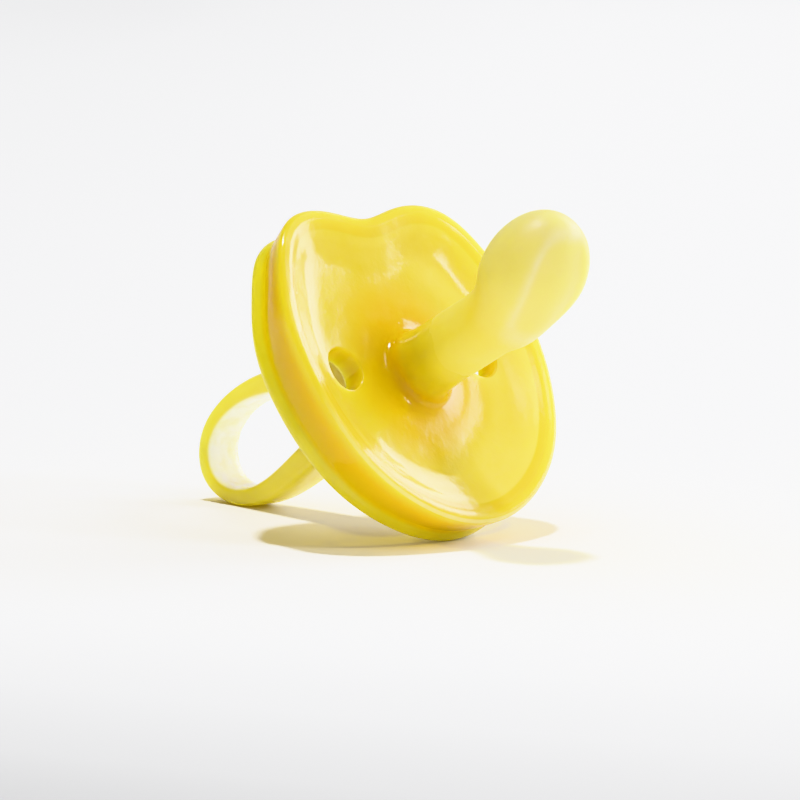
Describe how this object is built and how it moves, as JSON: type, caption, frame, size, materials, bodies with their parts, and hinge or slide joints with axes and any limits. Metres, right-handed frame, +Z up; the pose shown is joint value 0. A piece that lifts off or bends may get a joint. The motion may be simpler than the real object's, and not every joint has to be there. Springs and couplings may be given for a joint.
{
  "type": "pacifier",
  "caption": "Soft natural-rubber pacifier with a butterfly guard, a hollow orthodontic teat and a flexible loop handle.",
  "frame": {"origin": "centre of the pacifier's base on the surface it rests on, under the middle of its bounding box", "axes": "+Z up, -Y the way the teat leans out, +X to the side along the width of the guard"},
  "size_m": [0.048, 0.0614, 0.0453],
  "materials": {
    "guard_rubber": "glossy translucent amber, deeper where it is thick",
    "teat_rubber": "satin translucent pale yellow",
    "loop_rubber": "glossy translucent yellow, cream on the inside of the band"
  },
  "bodies": {
    "guard": {"guard": "guard_rubber", "teat_root": "guard_rubber", "loop_root": "guard_rubber"},
    "teat": {"teat": "teat_rubber"},
    "loop": {"loop_handle": "loop_rubber"}
  },
  "joints": [
    {"name": "teat_flex", "type": "hinge", "parent": "guard", "child": "teat", "pos_m": [0, -0.00885, 0.02415], "axis": [1, 0, 0], "range_deg": [-25, 25], "stiffness_Nm_per_rad": 0.05},
    {"name": "loop_flex", "type": "hinge", "parent": "guard", "child": "loop", "pos_m": [0, 0.00368, 0.0174], "axis": [1, 0, 0], "range_deg": [-40, 40], "stiffness_Nm_per_rad": 0.12}
  ]
}
